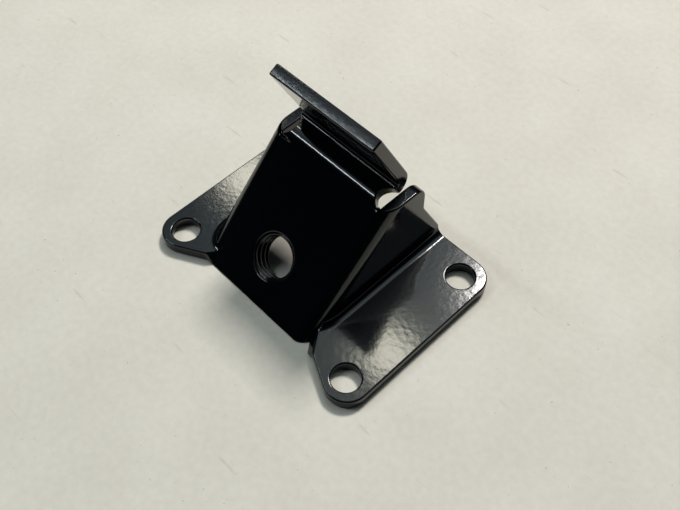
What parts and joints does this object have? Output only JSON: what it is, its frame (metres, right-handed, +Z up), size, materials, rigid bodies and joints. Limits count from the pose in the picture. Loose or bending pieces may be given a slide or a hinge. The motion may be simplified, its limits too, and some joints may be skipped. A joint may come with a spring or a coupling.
{
  "type": "motor mounting bracket",
  "caption": "Folded steel sheet bracket: bolt-down flanges, a raised hat with a pierced sloping face, and an upright plate.",
  "frame": {"origin": "middle of the four base holes, on the plane that the flanges stand on", "axes": "+X from flange to flange, to the right as seen from the sloping face; +Y from the foot of the sloping face to the open back; +Z up, out of the base plane"},
  "size_m": [0.0926, 0.0666, 0.0638],
  "materials": {
    "paint": "gloss black powder coat"
  },
  "bodies": {
    "root": {"motor_bracket": "paint"}
  },
  "joints": []
}
